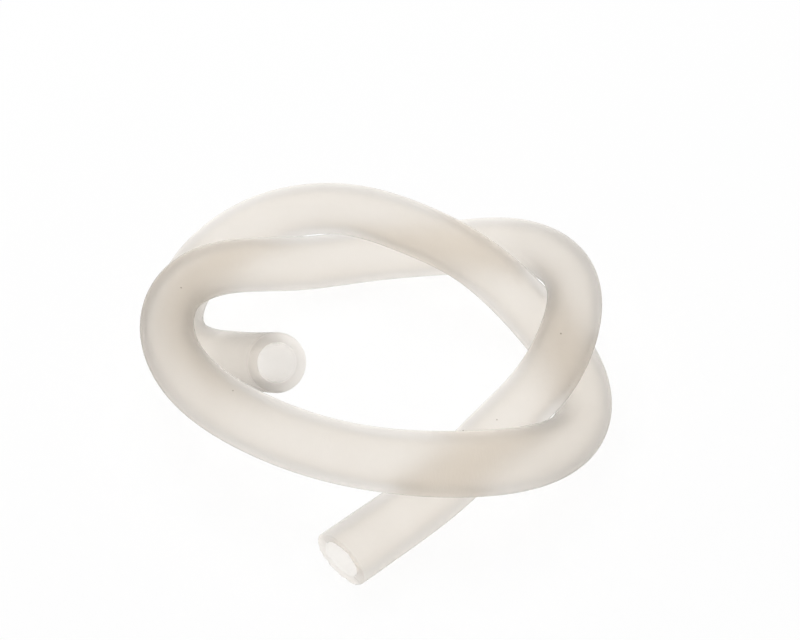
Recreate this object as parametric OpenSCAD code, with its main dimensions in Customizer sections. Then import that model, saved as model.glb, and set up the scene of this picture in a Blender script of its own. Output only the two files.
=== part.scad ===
// A short length of silicone laboratory tubing, open at both ends and tied in a loose overhand
// knot that lies on a flat surface. Millimetres, +Z up, origin on the surface under the middle.

/* [Tube] */
// Outside diameter of the tube
tube_od = 9; // [8:0.1:11]
// Bore of the tube
tube_bore = 6; // [4:0.1:7.2]
// Straight length left at each open end
end_straight = 10; // [6:0.1:16]

/* [Knot] */
// How loosely the knot is drawn: its width and depth against those of the closest knot
looseness = 1; // [1:0.05:1.3]

/* [Hidden] */
$fn = 64;
silicone = [0.93, 0.91, 0.88];

// Neighbouring lengths are fused through a short lap: every second one is slimmer in the wall by
// this much on each face, and runs this far into the solid wall of its neighbours
lap_step = 0.04;
lap_length = 0.1;
// Room by which a bore cutter passes the faces that it opens
cutter_room = 1;
// A length that bows off its line by less than this is made straight
straight_limit = 0.001;

// The centreline's control points, for a tube of this outside diameter. A control point at
// half that height lies on the surface, and one diameter more passes over another strand
route_od = 9;
route = [
    [3, -30.5, 4.5],     // inner end of the straight length behind the first mouth
    [11, -23, 4.5],      // under the front strand
    [17.5, -15, 6.5],
    [25, -9, 11.5],
    [30, -1.5, 14.5],    // over the right-hand strand
    [32.5, 10.5, 14.5],
    [30.5, 20.5, 13.5],
    [24, 31.5, 8],
    [11.5, 34.5, 4.5],
    [-2, 32.5, 4.5],     // under the back strand
    [-14, 29.5, 4.5],
    [-25, 22, 11],
    [-32, 12, 14.5],     // over the left-hand strand
    [-33, 0.5, 14.5],
    [-28, -11, 14],      // over the strand that leads to the second mouth
    [-17.5, -20, 14],
    [-4.5, -26.5, 14],
    [9.5, -29, 14.5],    // over the strand that leads to the first mouth
    [22.5, -25.5, 11.5],
    [31.5, -14, 4.5],
    [34, -1.5, 4.5],     // under the right-hand lobe
    [28.5, 13, 4.5],
    [17, 22, 11],
    [6.5, 27, 14.5],
    [-5.5, 34, 14.5],    // over the strand that crosses the back
    [-19.5, 38, 9.5],
    [-30.5, 31.5, 4.5],
    [-34, 18.5, 4.5],    // under the left-hand loop
    [-31, 7.5, 4.5],
    [-23, 3, 6],
    [-18.5, -4, 12]      // inner end of the straight length behind the second mouth
];

// The knot grows with the tube, so that strands that cross always clear each other
height_scale = tube_od / route_od;
plan_scale = height_scale * looseness;
control = [for (p = route) [p.x * plan_scale, p.y * plan_scale, p.z * height_scale]];
last = len(control) - 1;

function unit(v) = v / norm(v);

// A node is a point of the centreline and the direction of the tube there. Three control points
// hold one node of the smooth curve (a uniform cubic B-spline)
function curve_node(before, here, after) = [(before + 4 * here + after) / 6, unit(after - before)];

// Where the two arcs that lead smoothly from one node to the next meet each other
function meeting_node(a, b) =
    let (
        chord = b[0] - a[0],
        headings = a[1] + b[1],
        reach = chord * chord / (chord * headings
            + sqrt((chord * headings) ^ 2 + 2 * (1 - a[1] * b[1]) * (chord * chord)))
    )
    [(a[0] + b[0] + reach * (a[1] - b[1])) / 2, unit(chord - reach * headings)];

// Beyond each end of the list the control points run on in line, which makes the curve start and
// finish straight
extended = [2 * control[0] - control[1], each control, 2 * control[last] - control[last - 1]];
curve = [for (i = [1:last + 1]) curve_node(extended[i - 1], extended[i], extended[i + 1])];
first_mouth = [curve[0][0] - end_straight * curve[0][1], curve[0][1]];
second_mouth = [curve[last][0] + end_straight * curve[last][1], curve[last][1]];
// The bend that starts here is the last, and is in two halves, so that the straight lengths behind
// both mouths have the full wall
last_bend = meeting_node(curve[last - 1], curve[last]);
nodes = [
    first_mouth,
    for (i = [0:last - 1]) each [curve[i], meeting_node(curve[i], curve[i + 1])],
    meeting_node(last_bend, curve[last]),
    curve[last],
    second_mouth
];

// Matrix that stands a shape on a point, with its own axes turned to x, y and z
function placed(x, y, z, point) = [
    [x.x, y.x, z.x, point.x],
    [x.y, y.y, z.y, point.y],
    [x.z, y.z, z.z, point.z]
];

// A straight length from the origin up +Z, with a lap at each end of it
module straight_length(od, bore, length, lap) {
    difference() {
        translate([0, 0, -lap])
            cylinder(d = od, h = length + 2 * lap);
        translate([0, 0, -lap - cutter_room])
            cylinder(d = bore, h = length + 2 * lap + 2 * cutter_room);
    }
}

// A bent length round +Z, which starts on +X and turns towards +Y, with a lap at each end of it
module bent_length(od, bore, radius, turn, lap) {
    lap_turn = lap * 180 / (PI * radius);
    rotate_extrude(start = -lap_turn, angle = turn + 2 * lap_turn)
        translate([radius, 0])
            difference() {
                circle(d = od);
                circle(d = bore);
            }
}

// The hollow length between two nodes: the arc that leaves the first along its direction
module tube_length(from, to, slim) {
    od = slim ? tube_od - 2 * lap_step : tube_od;
    bore = slim ? tube_bore + 2 * lap_step : tube_bore;
    lap = slim ? lap_length : 0;
    chord = to[0] - from[0];
    bow = chord - from[1] * (chord * from[1]);
    if (norm(bow) < straight_limit) {
        across = unit(cross(from[1], [0, 0, 1]));
        multmatrix(placed(across, cross(from[1], across), from[1], from[0]))
            straight_length(od, bore, norm(chord), lap);
    } else {
        outward = -unit(bow);
        radius = chord * chord / (2 * norm(bow));
        turn = 2 * atan2(norm(bow), chord * from[1]);
        multmatrix(placed(outward, from[1], cross(outward, from[1]), from[0] - outward * radius))
            bent_length(od, bore, radius, turn, lap);
    }
}

module tubing() {
    color(silicone)
        for (i = [0:len(nodes) - 2])
            tube_length(nodes[i], nodes[i + 1], slim = i % 2 == 1);
}

tubing();
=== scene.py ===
import math

import bmesh
import bpy
import numpy as np
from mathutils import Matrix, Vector, noise


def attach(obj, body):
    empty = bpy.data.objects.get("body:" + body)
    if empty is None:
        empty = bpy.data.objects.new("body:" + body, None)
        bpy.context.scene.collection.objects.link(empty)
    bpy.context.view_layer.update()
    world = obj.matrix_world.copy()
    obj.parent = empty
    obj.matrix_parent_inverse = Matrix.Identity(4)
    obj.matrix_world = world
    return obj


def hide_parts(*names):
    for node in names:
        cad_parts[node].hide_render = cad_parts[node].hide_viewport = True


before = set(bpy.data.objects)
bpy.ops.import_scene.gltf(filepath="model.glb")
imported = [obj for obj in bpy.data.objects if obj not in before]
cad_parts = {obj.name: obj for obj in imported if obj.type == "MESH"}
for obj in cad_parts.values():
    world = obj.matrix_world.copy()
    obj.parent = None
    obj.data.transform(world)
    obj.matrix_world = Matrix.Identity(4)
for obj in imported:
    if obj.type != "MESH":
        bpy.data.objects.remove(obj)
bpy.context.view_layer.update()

bpy.ops.object.select_all(action="DESELECT")

# --- Camera -------------------------------------------------------------------------------------
# A product view from the front: the lens stands 265 mm away and looks 40 degrees down on the knot.
camera_distance, camera_drop = 0.265, math.radians(40)
camera_target = Vector((0.004, 0.02025, 0.0))
camera_data = bpy.data.cameras.new("product_camera")
camera_data.lens, camera_data.sensor_width = 70, 36
camera_data.clip_start, camera_data.clip_end = 0.01, 20
camera = bpy.data.objects.new("product_camera", camera_data)
camera.location = camera_target + camera_distance * Vector(
    (0, -math.cos(camera_drop), math.sin(camera_drop)))
camera.rotation_euler = (math.pi / 2 - camera_drop, 0, 0)
bpy.context.collection.objects.link(camera)
bpy.context.scene.camera = camera

# --- Tubing: the knotted length ------------------------------------------------------------------
# One extruded length of platinum-cured silicone tube, 6 mm bore and 1.5 mm wall, tied by hand in a
# loose overhand knot. It is limp enough to flatten a little where it bends hardest, and both its
# ends are cut with scissors.
tube_radius, bore_radius = 0.0045, 0.003
end_straight = 0.010
route = [
    (0.003, -0.0305, 0.0045),     # inner end of the straight length behind the first mouth
    (0.011, -0.023, 0.0045),      # under the front strand
    (0.0175, -0.015, 0.0065),
    (0.0255, -0.0095, 0.0115),
    (0.030, -0.0015, 0.0145),     # over the right-hand strand
    (0.0325, 0.010, 0.0145),
    (0.0305, 0.0205, 0.0135),
    (0.024, 0.0315, 0.008),
    (0.0115, 0.0345, 0.0045),
    (-0.002, 0.0325, 0.0045),     # under the back strand
    (-0.014, 0.0295, 0.0045),
    (-0.025, 0.022, 0.011),
    (-0.032, 0.012, 0.0145),      # over the left-hand strand
    (-0.033, 0.0005, 0.0145),
    (-0.028, -0.011, 0.014),      # over the strand that leads to the second mouth
    (-0.0175, -0.020, 0.014),
    (-0.0045, -0.0265, 0.014),
    (0.0095, -0.029, 0.0145),     # over the strand that leads to the first mouth
    (0.0225, -0.025, 0.0115),
    (0.0315, -0.0135, 0.0045),
    (0.034, -0.0015, 0.0045),     # under the right-hand lobe
    (0.0285, 0.013, 0.0045),
    (0.0175, 0.023, 0.011),
    (0.0065, 0.027, 0.0145),
    (-0.0055, 0.034, 0.0145),     # over the strand that crosses the back
    (-0.0195, 0.038, 0.0095),
    (-0.0305, 0.0315, 0.0045),
    (-0.034, 0.0185, 0.0045),     # under the left-hand loop
    (-0.031, 0.0075, 0.0045),
    (-0.023, 0.003, 0.006),
    (-0.0185, -0.004, 0.012),     # inner end of the straight length behind the second mouth
]


def along(points, step):
    """The same line with its points an even step apart, and the distance of each from the start."""
    gone = np.concatenate([[0], np.cumsum(np.linalg.norm(np.diff(points, axis=0), axis=1))])
    at = np.linspace(0, gone[-1], round(gone[-1] / step) + 1)
    return np.stack([np.interp(at, gone, points[:, k]) for k in range(3)], axis=1), at


# The smooth curve that the route holds in shape, with a straight length before and after it. Five
# of its points lie up to 1.1 mm nearer to the strand beside them than a hard tube's could, because
# the soft walls press into each other there
span_steps, ring_step = 60, 0.0009
held = np.array(route)
held = np.vstack([2 * held[0] - held[1], held, 2 * held[-1] - held[-2]])
bend = []
for i in range(len(route) - 1):
    for t in np.linspace(0, 1, span_steps, endpoint=False):
        share = np.array([(1 - t) ** 3, 3 * t**3 - 6 * t**2 + 4,
                          -3 * t**3 + 3 * t**2 + 3 * t + 1, t**3]) / 6
        bend.append(share @ held[i:i + 4])
bend.append(held[-2])
bend = np.array(bend)
start_axis = (bend[0] - bend[1]) / np.linalg.norm(bend[0] - bend[1])
finish_axis = (bend[-1] - bend[-2]) / np.linalg.norm(bend[-1] - bend[-2])
centre, distance = along(np.vstack([bend[0] + end_straight * start_axis, bend,
                                    bend[-1] + end_straight * finish_axis]), ring_step)
tube_length = float(distance[-1])

# The tube's own directions at each point: ahead, and two across that never twist round it
ahead = np.gradient(centre, axis=0)
ahead /= np.linalg.norm(ahead, axis=1)[:, None]
across = [np.cross(ahead[0], (0, 0, 1)) / np.linalg.norm(np.cross(ahead[0], (0, 0, 1)))]
for a in ahead[1:]:
    side = across[-1] - a * (across[-1] @ a)
    across.append(side / np.linalg.norm(side))
across = np.array(across)
aside = np.cross(ahead, across)

# How much the section flattens towards the inside of each bend and widens beside it, eased over
# some rings each way and fading out at the mouths. Both faces of the wall move alike, which keeps
# its thickness
ease_rings, ease_spread = 12, 5
most_flattened, softness, widening, round_reach = 0.12, 4.0e-5, 0.8, 0.02
curving = np.gradient(ahead, distance, axis=0)
ease = np.exp(-0.5 * (np.arange(-ease_rings, ease_rings + 1) / ease_spread) ** 2)
curving = np.stack([np.convolve(np.pad(curving[:, k], ease_rings, "edge"), ease / ease.sum(),
                                "valid") for k in range(3)], axis=1)
tightness = np.linalg.norm(curving, axis=1)
towards = curving / np.maximum(tightness, 1e-9)[:, None]
beside = np.cross(ahead, towards)
flattened = (np.minimum(most_flattened, softness * tightness**2)
             * np.minimum(1, distance / round_reach)
             * np.minimum(1, (tube_length - distance) / round_reach))
widened = widening * flattened

corners = 64
turn = np.arange(corners) * 2 * math.pi / corners


def oval(i, radius):
    """A ring of points round the tube at one place on it, flattened as the bend there makes it."""
    spoke = np.outer(np.cos(turn), across[i]) + np.outer(np.sin(turn), aside[i])
    squash = np.outer(spoke @ towards[i], towards[i]) * flattened[i]
    bulge = np.outer(spoke @ beside[i], beside[i]) * widened[i]
    return centre[i] + spoke * radius + (bulge - squash) * tube_radius


# How gently the rubber gives, the gap that stays where it touches something, how far along the tube
# a length still counts as the same strand, and how near another strand can touch it
give, clearance, same_strand = 0.00006, 0.00002, 0.02
touch_reach = 3 * tube_radius


def eased(depth):
    """How far the rubber gives where it would be pressed in by this much."""
    return give * np.logaddexp(0, (depth + clearance) / give)


def pressed(i):
    """How the table and the strands that it touches push in the tube wall at one place on it."""
    points = oval(i, tube_radius)
    push = np.zeros_like(points)
    touching = np.flatnonzero((np.linalg.norm(centre - centre[i], axis=1) < touch_reach)
                              & (np.abs(distance - distance[i]) > same_strand))
    if len(touching):
        own = np.flatnonzero(np.abs(distance - distance[i]) <= same_strand)
        for n, p in enumerate(points):
            other = centre[touching[np.linalg.norm(centre[touching] - p, axis=1).argmin()]]
            mine = centre[own[np.linalg.norm(centre[own] - other, axis=1).argmin()]]
            side = (other - mine) / np.linalg.norm(other - mine)
            push[n] = -side * eased((p - (mine + other) / 2) @ side)
    push[:, 2] += eased(-(points + push)[:, 2])
    return push


pushes = [pressed(i) for i in range(len(centre))]


def ring(i, radius):
    """The same ring, pressed in where the tube touches something."""
    return oval(i, radius) + pushes[i]


# Each mouth's place in the list of rings, the way it points, the way its slanted cut faces, and how
# rough the blade left it
last = len(centre) - 1
mouths = [(0, start_axis, np.array((-0.676, -0.741, -0.125)), 0.0002),
          (last, finish_axis, np.array((0.375, -0.710, 0.596)), 0.00003)]
slant_reach = 0.005


def wall(i, radius):
    """A ring of the wall, moved along the tube near a mouth so that it follows the slanted cut."""
    points = ring(i, radius)
    for mouth, axis, cut, roughness in mouths:
        near = max(0, 1 - abs(distance[i] - distance[mouth]) / slant_reach)
        points = points - np.outer((points - centre[i]) @ cut / (axis @ cut) * near, axis)
    return points


# The rim from the outer wall round to the bore: share of the outer radius, place along the tube,
# and share of the blade's roughness. Then the blade's marks: how fine each kind is, and how deep
bore_share = bore_radius / tube_radius
rim_profile = [(1.0, -0.00045, 0.2), (1.0, -0.00016, 0.6), (0.995, -0.00005, 1), (0.975, 0, 1),
               (0.93, 0.00003, 1), (0.83, 0.00002, 1), (0.73, 0, 1), (0.69, -0.00003, 1),
               (0.67, -0.0001, 0.8), (bore_share, -0.0003, 0.4), (bore_share, -0.0006, 0.1)]
blade_marks = [(900, 1), (2100, 0.5), (4600, 0.35)]


def rim(mouth, axis, cut, roughness):
    """The rings of one cut face, each point in or out along the tube as the blade left it."""
    rings = []
    for share, place, torn in rim_profile:
        points = wall(mouth, tube_radius * share)
        rough = [sum(depth * noise.noise(Vector(p * fineness)) for fineness, depth in blade_marks)
                 for p in points]
        rings.append(points + np.outer(place + torn * roughness * np.array(rough), axis))
    return rings


# Rings along the outside, over the far cut face, back along the bore and over the near cut face
rows = [wall(i, tube_radius) for i in range(1, last)] + rim(*mouths[1])
rows += [wall(i, bore_radius) for i in range(last - 1, 0, -1)] + rim(*mouths[0])[::-1]

# What each ring carries for the material: its share of the outer radius, how far along the tube it
# is, and how far a cut has frosted it, which is more at the near mouth, where the blade tore
bore_flow, flow_per_metre = 0.67, 100
cut_from, cut_to, far_frost, near_frost = 0.68, 0.98, 0.12, 0.6
out_and_back = list(distance[1:last]) + [tube_length] * len(rim_profile)
out_and_back += list(distance[last - 1:0:-1]) + [0] * len(rim_profile)
shares = [1] * (last - 1) + [p[0] for p in rim_profile]
shares += [bore_flow] * (last - 1) + [p[0] for p in rim_profile[::-1]]
cut_here = np.array([float(cut_from < p[0] < cut_to) for p in rim_profile])
cut_rows = [0] * (last - 1) + list(far_frost * cut_here)
cut_rows += [0] * (last - 1) + list(near_frost * cut_here[::-1])

mesh = bpy.data.meshes.new("tube_wall")
count = len(rows)
faces = [(r * corners + c, r * corners + (c + 1) % corners,
          (r + 1) % count * corners + (c + 1) % corners, (r + 1) % count * corners + c)
         for r in range(count) for c in range(corners)]
mesh.from_pydata(np.vstack(rows).tolist(), [], faces)
flow_values = np.array([(share * math.cos(t), share * math.sin(t), flow_per_metre * gone)
                        for share, gone in zip(shares, out_and_back) for t in turn])
mesh.attributes.new("flow", "FLOAT_VECTOR", "POINT").data.foreach_set(
    "vector", flow_values.ravel())
mesh.attributes.new("cut", "FLOAT", "POINT").data.foreach_set(
    "value", np.repeat(cut_rows, corners).astype(float))
tube = bpy.data.objects.new("tube_wall", mesh)
bpy.context.collection.objects.link(tube)
made = bmesh.new()
made.from_mesh(mesh)
bmesh.ops.remove_doubles(made, verts=made.verts, dist=1e-7)
bmesh.ops.recalc_face_normals(made, faces=made.faces)
made.to_mesh(mesh)
made.free()
for polygon in mesh.polygons:
    polygon.use_smooth = True

silicone = bpy.data.materials.new("milky_silicone")
silicone.use_nodes = True
nodes, links = silicone.node_tree.nodes, silicone.node_tree.links
shader, output = nodes["Principled BSDF"], nodes["Material Output"]
shader.inputs["IOR"].default_value = 1.15
shader.inputs["Transmission Weight"].default_value = 1.0
cloud = nodes.new("ShaderNodeVolumeAbsorption")
cloud.inputs["Color"].default_value = (0.845, 0.839, 0.831, 1)
cloud.inputs["Density"].default_value = 275
links.new(cloud.outputs["Volume"], output.inputs["Volume"])


# These make nodes in the tree that `nodes` and `links` stand for at the time
def ramp(value, low, high, out_low, out_high):
    """A value brought from one range to another, held at its ends."""
    node = nodes.new("ShaderNodeMapRange")
    node.inputs["From Min"].default_value, node.inputs["From Max"].default_value = low, high
    node.inputs["To Min"].default_value, node.inputs["To Max"].default_value = out_low, out_high
    links.new(value, node.inputs["Value"])
    return node.outputs["Result"]


def combined(operation, a, b):
    """The result of one sum with two values, each a number or a socket."""
    node = nodes.new("ShaderNodeMath")
    node.operation = operation
    for k, v in enumerate((a, b)):
        if isinstance(v, (int, float)):
            node.inputs[k].default_value = v
        else:
            links.new(v, node.inputs[k])
    return node.outputs[0]


def texture(kind, vector, **settings):
    """A texture of this kind over these coordinates, with its settings by name."""
    node = nodes.new(kind)
    for name, value in settings.items():
        node.inputs[name].default_value = value
    links.new(vector, node.inputs["Vector"])
    return node.outputs


def mixed(factor, a, b):
    """One colour shading into another, the first a colour or a socket."""
    node = nodes.new("ShaderNodeMix")
    node.data_type = "RGBA"
    if isinstance(a, tuple):
        node.inputs["A"].default_value = a
    else:
        links.new(a, node.inputs["A"])
    node.inputs["B"].default_value = b
    links.new(factor, node.inputs["Factor"])
    return node.outputs["Result"]


place = nodes.new("ShaderNodeTexCoord").outputs["Object"]
along_tube = nodes.new("ShaderNodeAttribute")
along_tube.attribute_name = "flow"
on_cut = nodes.new("ShaderNodeAttribute")
on_cut.attribute_name = "cut"

# Faint clouds in the rubber, and the long streaks that the die leaves along it. Both fill only the
# middle of a noise's range
dim, bright = 0.3, 0.7
clouds = texture("ShaderNodeTexNoise", place, Scale=160, Detail=3)["Fac"]
stretch = texture("ShaderNodeMapping", along_tube.outputs["Vector"], Scale=(1, 1, 12))
streaks = texture("ShaderNodeTexNoise", stretch["Vector"], Scale=5, Detail=4)["Fac"]

# Dust held by the tacky surface: rare dark specks with a soft edge
speck_rarity, speck_core, speck_edge = 0.96, 0.07, 0.11
dust = texture("ShaderNodeTexVoronoi", place, Scale=600)
split = nodes.new("ShaderNodeSeparateColor")
links.new(dust["Color"], split.inputs["Color"])
rare = combined("GREATER_THAN", split.outputs["Red"], speck_rarity)
speck = combined("MULTIPLY", rare, ramp(dust["Distance"], speck_core, speck_edge, 1, 0))

# The clear skin, duller where a cut has frosted it and dark under a speck
tone = mixed(ramp(clouds, dim, bright, 0, 1), (0.981, 0.9575, 0.926, 1), (1.0, 0.9805, 0.954, 1))
frosted = mixed(on_cut.outputs["Fac"], tone, (0.84, 0.80, 0.755, 1))
dusted = mixed(speck, frosted, (0.33, 0.30, 0.27, 1))
links.new(dusted, shader.inputs["Base Color"])

# A matt skin: what the streaks, the clouds and the blade each do to its roughness
smoothest, roughest, cloud_change, blade_change = 0.78, 0.88, 0.03, 0.04
matt = combined("ADD", ramp(streaks, dim, bright, smoothest, roughest),
                ramp(clouds, dim, bright, -cloud_change, cloud_change))
links.new(combined("ADD", matt, combined("MULTIPLY", on_cut.outputs["Fac"], blade_change)),
          shader.inputs["Roughness"])

relief = 0.5
bump = nodes.new("ShaderNodeBump")
bump.inputs["Strength"].default_value = 0.35
bump.inputs["Distance"].default_value = 0.0002
links.new(combined("ADD", combined("MULTIPLY", streaks, relief),
                   combined("MULTIPLY", clouds, relief)), bump.inputs["Height"])
links.new(bump.outputs["Normal"], shader.inputs["Normal"])
mesh.materials.append(silicone)

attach(tube, "root")
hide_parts("tubing")

# --- Studio --------------------------------------------------------------------------------------
# A plain white table under soft light from all round, brightest from above and behind. Where it is
# looked at, straight or through the rubber, it is an even white that keeps the tube's shadow.
def looked_at():
    """1 for rays that show a thing itself, straight, mirrored or through the rubber, and 0 else."""
    paths = nodes.new("ShaderNodeLightPath").outputs
    return combined("MAXIMUM", combined("MAXIMUM", paths["Is Camera Ray"], paths["Is Glossy Ray"]),
                    paths["Is Transmission Ray"])


# How far the table's white is made even where it is looked at, and the light from all round
evenness, plain_light = 0.88, 0.6
bpy.ops.mesh.primitive_plane_add(size=6)
table = bpy.context.object
table.name = "white_table"
white = bpy.data.materials.new("white_table")
white.use_nodes = True
nodes, links = white.node_tree.nodes, white.node_tree.links
shader = nodes["Principled BSDF"]
shader.inputs["Base Color"].default_value = (0.9, 0.9, 0.9, 1)
shader.inputs["Roughness"].default_value = 1.0
shader.inputs["Specular IOR Level"].default_value = 0.0
glow = nodes.new("ShaderNodeEmission")
glow.inputs["Color"].default_value = (1, 1, 1, 1)
glow.inputs["Strength"].default_value = 1.0
mix = nodes.new("ShaderNodeMixShader")
links.new(combined("MULTIPLY", looked_at(), evenness), mix.inputs["Fac"])
links.new(shader.outputs["BSDF"], mix.inputs[1])
links.new(glow.outputs["Emission"], mix.inputs[2])
links.new(mix.outputs["Shader"], nodes["Material Output"].inputs["Surface"])
table.data.materials.append(white)

world = bpy.data.worlds.new("studio")
bpy.context.scene.world = world
world.use_nodes = True
nodes, links = world.node_tree.nodes, world.node_tree.links
sky = nodes["Background"]
sky.inputs["Color"].default_value = (1, 1, 1, 1)
links.new(combined("MAXIMUM", looked_at(), plain_light), sky.inputs["Strength"])

key_data = bpy.data.lights.new("overhead_softbox", "AREA")
key_data.shape, key_data.size, key_data.energy = "DISK", 0.6, 3
key = bpy.data.objects.new("overhead_softbox", key_data)
key.location = (-0.1, 0.25, 0.7)
key.rotation_euler = (Vector((0, 0, 0)) - key.location).to_track_quat("-Z", "Y").to_euler()
bpy.context.collection.objects.link(key)

bpy.context.scene.view_settings.view_transform = "Standard"
